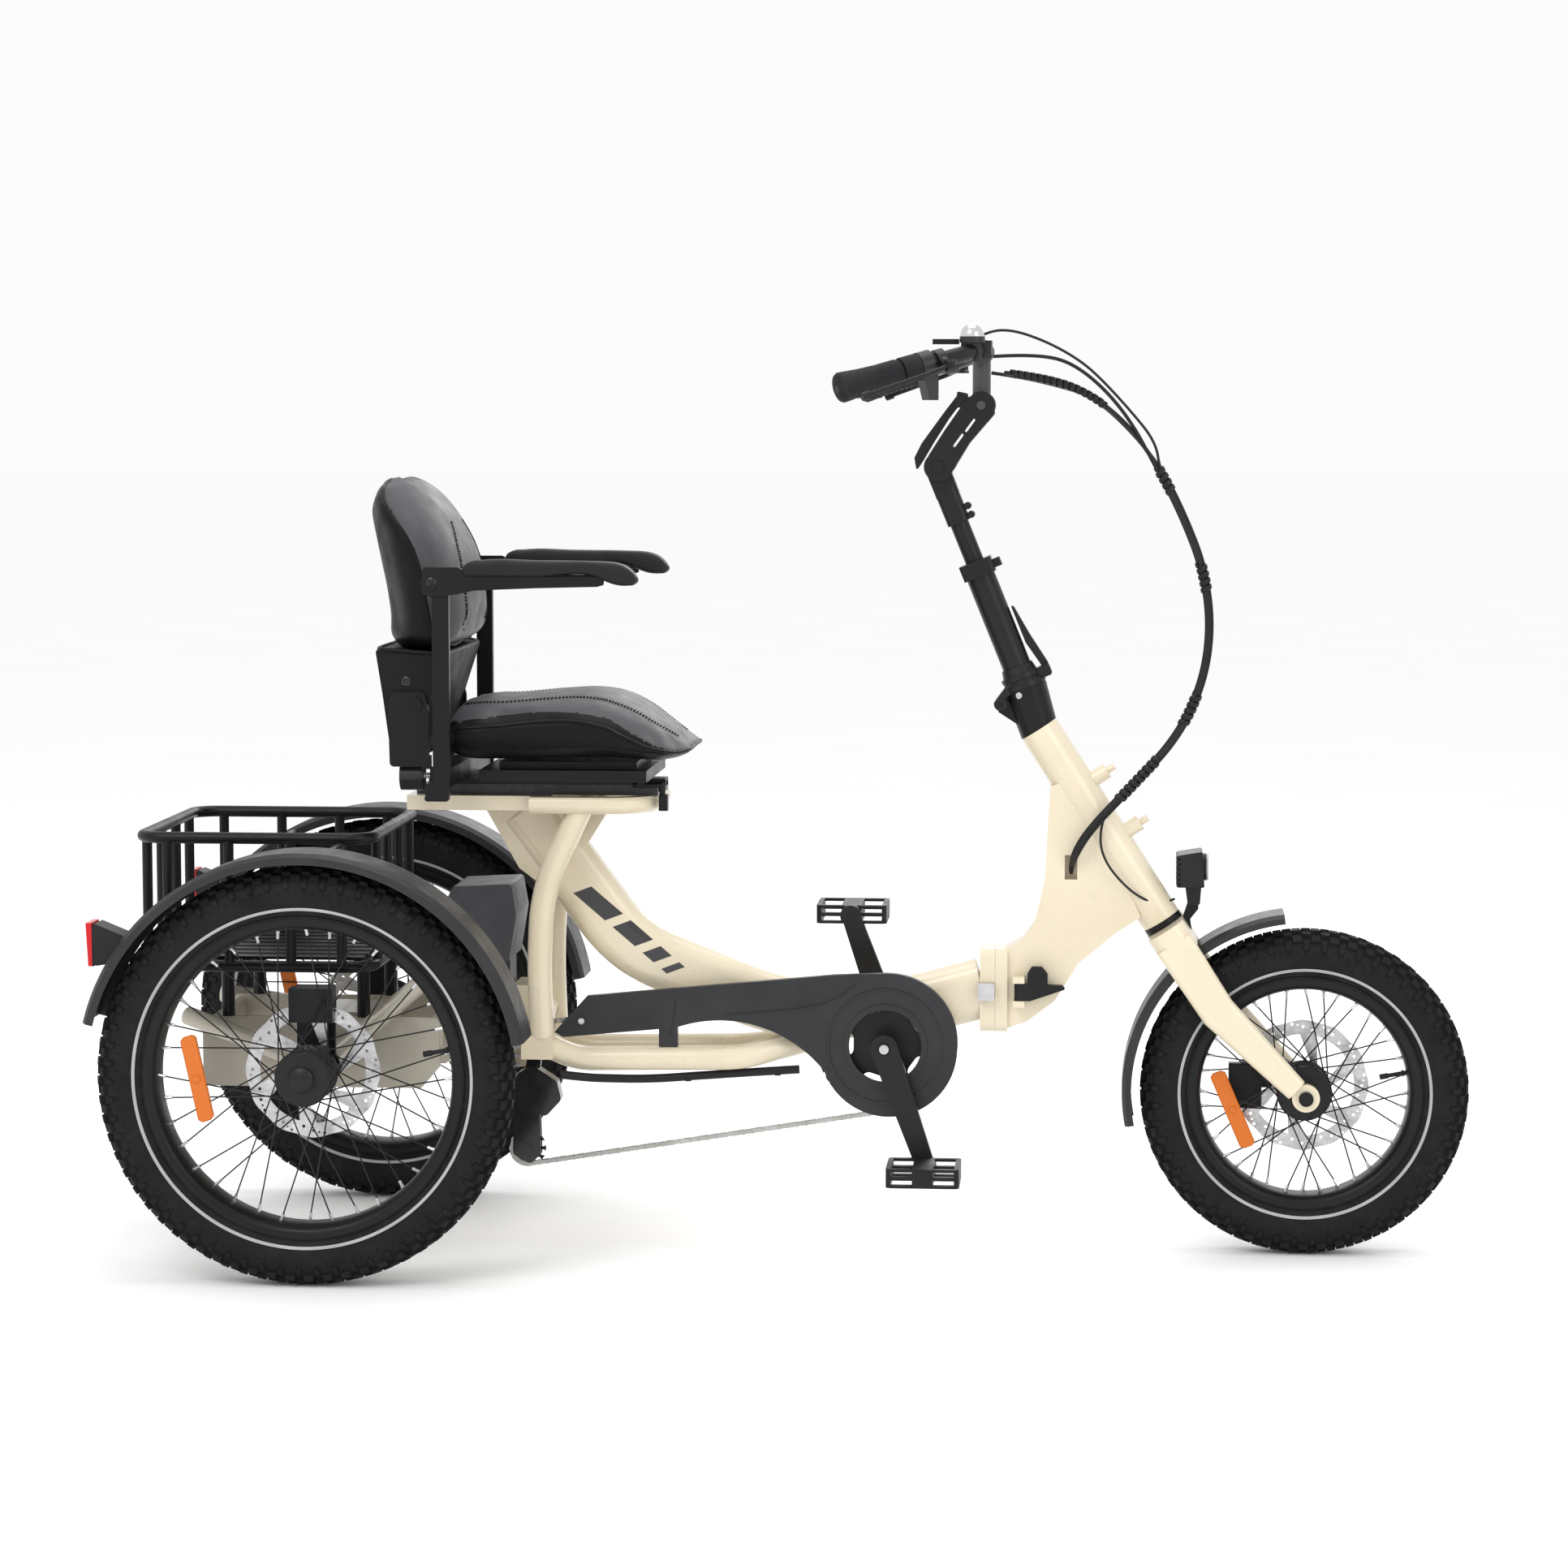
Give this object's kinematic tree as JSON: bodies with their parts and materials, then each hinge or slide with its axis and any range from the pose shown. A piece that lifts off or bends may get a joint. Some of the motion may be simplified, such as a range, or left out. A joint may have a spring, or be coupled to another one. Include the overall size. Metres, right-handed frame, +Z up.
{
  "type": "adult tricycle",
  "caption": "Folding electric adult tricycle with padded seat with lift-up armrests, rear basket, chain guard, fenders and an upright tilting handlebar mast.",
  "frame": {"origin": "on the ground under the middle of the tricycle", "axes": "+X forward along the tricycle's length, +Y to the rider's left, +Z up"},
  "size_m": [1.8599, 0.722, 1.284],
  "materials": {
    "anodised_black": "anodised",
    "black_paint": "satin",
    "black_plastic": "matt",
    "cable_black": "satin",
    "chain_steel": "satin",
    "cream_paint": "gloss",
    "gloss_black": "gloss",
    "grey_paint": "satin",
    "grey_plastic": "satin",
    "housing_paint": "satin metallic",
    "hub_black": "satin",
    "lamp_red": "gloss",
    "rim_black": "satin",
    "rubber_black": "matt",
    "steel": "brushed",
    "tyre": "matt",
    "vinyl": "satin grain"
  },
  "bodies": {
    "rear_half": {"rear_frame": "cream_paint", "axle_housing": "housing_paint", "chain_guard": "grey_plastic", "chain": "chain_steel", "basket": "black_paint", "battery": "grey_plastic", "rear_fender_right": "grey_plastic", "rear_fender_left": "grey_plastic", "tail_lights": "lamp_red", "rear_calipers": "black_paint", "derailleur": "gloss_black", "frame_fittings": "steel", "rear_cables": "cable_black"},
    "front_half": {"front_frame": "cream_paint", "cable_loom": "cable_black"},
    "frame_latch": {"frame_latch": "black_plastic"},
    "fork": {"fork": "cream_paint", "fork_hardware": "black_paint", "front_fender": "grey_plastic", "front_caliper": "black_paint"},
    "headlight": {"headlight": "black_plastic"},
    "rear_right_wheel": {"rear_right_tyre": "tyre", "rear_right_rim": "rim_black", "rear_right_hub": "hub_black"},
    "rear_left_wheel": {"rear_left_tyre": "tyre", "rear_left_rim": "rim_black", "rear_left_hub": "hub_black"},
    "front_wheel": {"front_tyre": "tyre", "front_rim": "rim_black", "front_hub": "hub_black"},
    "crankset": {"crankset": "anodised_black"},
    "pedal_right": {"pedal_right": "black_plastic"},
    "pedal_left": {"pedal_left": "black_plastic"},
    "cassette": {"cassette": "steel"},
    "jockey_upper": {"jockey_upper": "black_plastic"},
    "jockey_lower": {"jockey_lower": "black_plastic"},
    "seat": {"seat_base": "black_paint", "seat_cushion": "vinyl"},
    "backrest": {"backrest_shell": "black_plastic", "backrest_cushion": "vinyl"},
    "arm_post_right": {"arm_post_right": "black_paint"},
    "arm_post_left": {"arm_post_left": "black_paint"},
    "armrest_right": {"armrest_right": "black_paint"},
    "armrest_left": {"armrest_left": "black_paint"},
    "knob_right": {"knob_right": "black_plastic"},
    "knob_left": {"knob_left": "black_plastic"},
    "slide_handle": {"slide_handle": "black_paint"},
    "mast": {"mast": "anodised_black"},
    "mast_latch": {"mast_latch": "anodised_black"},
    "post": {"post": "anodised_black"},
    "stem": {"stem_head": "anodised_black"},
    "stem_lever": {"stem_lever": "anodised_black"},
    "bars": {"riser": "grey_paint", "handlebar": "anodised_black", "grips": "rubber_black", "bar_controls": "black_plastic"},
    "shift_sleeve": {"shift_sleeve": "rubber_black"},
    "brake_lever_right": {"brake_lever_right": "anodised_black"},
    "brake_lever_left": {"brake_lever_left": "anodised_black"},
    "bell_striker": {"bell_striker": "black_plastic"}
  },
  "joints": [
    {"name": "frame_fold", "type": "hinge", "parent": "rear_half", "child": "front_half", "pos_m": [0.2835, 0.04, 0.365], "axis": [0, 0, 1], "range_deg": [0, 100]},
    {"name": "frame_latch_turn", "type": "hinge", "parent": "front_half", "child": "frame_latch", "pos_m": [0.3165, -0.04, 0.366], "axis": [0, 0, 1], "range_deg": [-95, 0]},
    {"name": "steer", "type": "hinge", "parent": "front_half", "child": "fork", "pos_m": [0.5125, 0, 0.464], "axis": [-0.5424, 0, 0.8401], "range_deg": [-45, 45], "deforming": ["cable_loom"]},
    {"name": "headlight_tilt", "type": "hinge", "parent": "fork", "child": "headlight", "pos_m": [0.5572, 0, 0.4926], "axis": [0, 1, 0], "range_deg": [-20, 20]},
    {"name": "mast_fold", "type": "hinge", "parent": "fork", "child": "mast", "pos_m": [0.2895, 0, 0.763], "axis": [0, -1, 0], "range_deg": [0, 38]},
    {"name": "mast_latch_turn", "type": "hinge", "parent": "mast", "child": "mast_latch", "pos_m": [0.35156, 0, 0.81004], "axis": [0, 1, 0], "range_deg": [0, 80]},
    {"name": "post_height", "type": "slide", "parent": "mast", "child": "post", "axis": [-0.3771, 0, 0.9262], "range_m": [-0.035, 0.06]},
    {"name": "stem_tilt", "type": "hinge", "parent": "post", "child": "stem", "pos_m": [0.2021, 0, 1.0897], "axis": [0, -1, 0], "range_deg": [-20, 20]},
    {"name": "stem_lever_turn", "type": "hinge", "parent": "stem", "child": "stem_lever", "pos_m": [0.2345, 0, 1.186], "axis": [0, 1, 0], "range_deg": [0, 60]},
    {"name": "bar_tilt", "type": "hinge", "parent": "stem", "child": "bars", "pos_m": [0.2605, 0, 1.174], "axis": [0, -1, 0], "range_deg": [-15, 15]},
    {"name": "shift_turn", "type": "hinge", "parent": "bars", "child": "shift_sleeve", "pos_m": [0.17245, -0.21246, 1.22214], "axis": [-0.8605, -0.4446, -0.2486], "range_deg": [-60, 0]},
    {"name": "brake_right", "type": "hinge", "parent": "bars", "child": "brake_lever_right", "pos_m": [0.22684, -0.22488, 1.22708], "axis": [0, 0, 1], "range_deg": [0, 10], "stiffness_Nm_per_rad": 0.6},
    {"name": "brake_left", "type": "hinge", "parent": "bars", "child": "brake_lever_left", "pos_m": [0.22684, 0.22488, 1.22708], "axis": [0, 0, -1], "range_deg": [0, 10], "stiffness_Nm_per_rad": 0.6},
    {"name": "bell_turn", "type": "hinge", "parent": "bars", "child": "bell_striker", "pos_m": [0.2525, -0.148, 1.259], "axis": [0, 0, 1], "range_deg": [0, 35], "stiffness_Nm_per_rad": 0.05},
    {"name": "front_wheel_spin", "type": "hinge", "parent": "fork", "child": "front_wheel", "pos_m": [0.7115, 0, 0.227], "axis": [0, 1, 0], "continuous": true},
    {"name": "rear_right_wheel_spin", "type": "hinge", "parent": "rear_half", "child": "rear_right_wheel", "pos_m": [-0.6275, -0.315, 0.282], "axis": [0, 1, 0], "continuous": true},
    {"name": "rear_left_wheel_spin", "type": "hinge", "parent": "rear_half", "child": "rear_left_wheel", "pos_m": [-0.6275, 0.315, 0.282], "axis": [0, 1, 0], "continuous": true},
    {"name": "crank_spin", "type": "hinge", "parent": "rear_half", "child": "crankset", "pos_m": [0.1332, 0, 0.292], "axis": [0, 1, 0], "continuous": true},
    {"name": "pedal_right_spin", "type": "hinge", "parent": "crankset", "child": "pedal_right", "pos_m": [0.19062, -0.1, 0.12987], "axis": [0, 1, 0], "continuous": true},
    {"name": "pedal_left_spin", "type": "hinge", "parent": "crankset", "child": "pedal_left", "pos_m": [0.07579, 0.1, 0.45413], "axis": [0, 1, 0], "continuous": true},
    {"name": "cassette_spin", "type": "hinge", "parent": "rear_half", "child": "cassette", "pos_m": [-0.4225, 0, 0.268], "axis": [0, 1, 0], "continuous": true},
    {"name": "jockey_upper_spin", "type": "hinge", "parent": "rear_half", "child": "jockey_upper", "pos_m": [-0.3695, -0.045, 0.222], "axis": [0, 1, 0], "continuous": true},
    {"name": "jockey_lower_spin", "type": "hinge", "parent": "rear_half", "child": "jockey_lower", "pos_m": [-0.3685, -0.045, 0.139], "axis": [0, 1, 0], "continuous": true},
    {"name": "seat_slide", "type": "slide", "parent": "rear_half", "child": "seat", "axis": [1, 0, 0], "range_m": [0, 0.04]},
    {"name": "backrest_fold", "type": "hinge", "parent": "seat", "child": "backrest", "pos_m": [-0.5, 0, 0.77], "axis": [0, 1, 0], "range_deg": [0, 40]},
    {"name": "arm_width_right", "type": "slide", "parent": "seat", "child": "arm_post_right", "axis": [0, -1, 0], "range_m": [0, 0.04]},
    {"name": "arm_width_left", "type": "slide", "parent": "seat", "child": "arm_post_left", "axis": [0, 1, 0], "range_m": [0, 0.04]},
    {"name": "armrest_lift_right", "type": "hinge", "parent": "arm_post_right", "child": "armrest_right", "pos_m": [-0.4705, -0.196, 0.931], "axis": [0, -1, 0], "range_deg": [0, 90]},
    {"name": "armrest_lift_left", "type": "hinge", "parent": "arm_post_left", "child": "armrest_left", "pos_m": [-0.4705, 0.196, 0.931], "axis": [0, -1, 0], "range_deg": [0, 90]},
    {"name": "knob_right_turn", "type": "hinge", "parent": "seat", "child": "knob_right", "pos_m": [-0.5105, -0.14, 0.67], "axis": [1, 0, 0], "continuous": true},
    {"name": "knob_left_turn", "type": "hinge", "parent": "seat", "child": "knob_left", "pos_m": [-0.5105, 0.14, 0.67], "axis": [1, 0, 0], "continuous": true},
    {"name": "slide_handle_lift", "type": "hinge", "parent": "seat", "child": "slide_handle", "pos_m": [-0.2035, -0.0763, 0.653], "axis": [0, -1, 0], "range_deg": [0, 12]}
  ],
  "couplings": [
    {"joint": "cassette_spin", "follows": "crank_spin", "ratio": 2.5556},
    {"joint": "jockey_upper_spin", "follows": "crank_spin", "ratio": -4.1818},
    {"joint": "jockey_lower_spin", "follows": "crank_spin", "ratio": 4.1818}
  ]
}
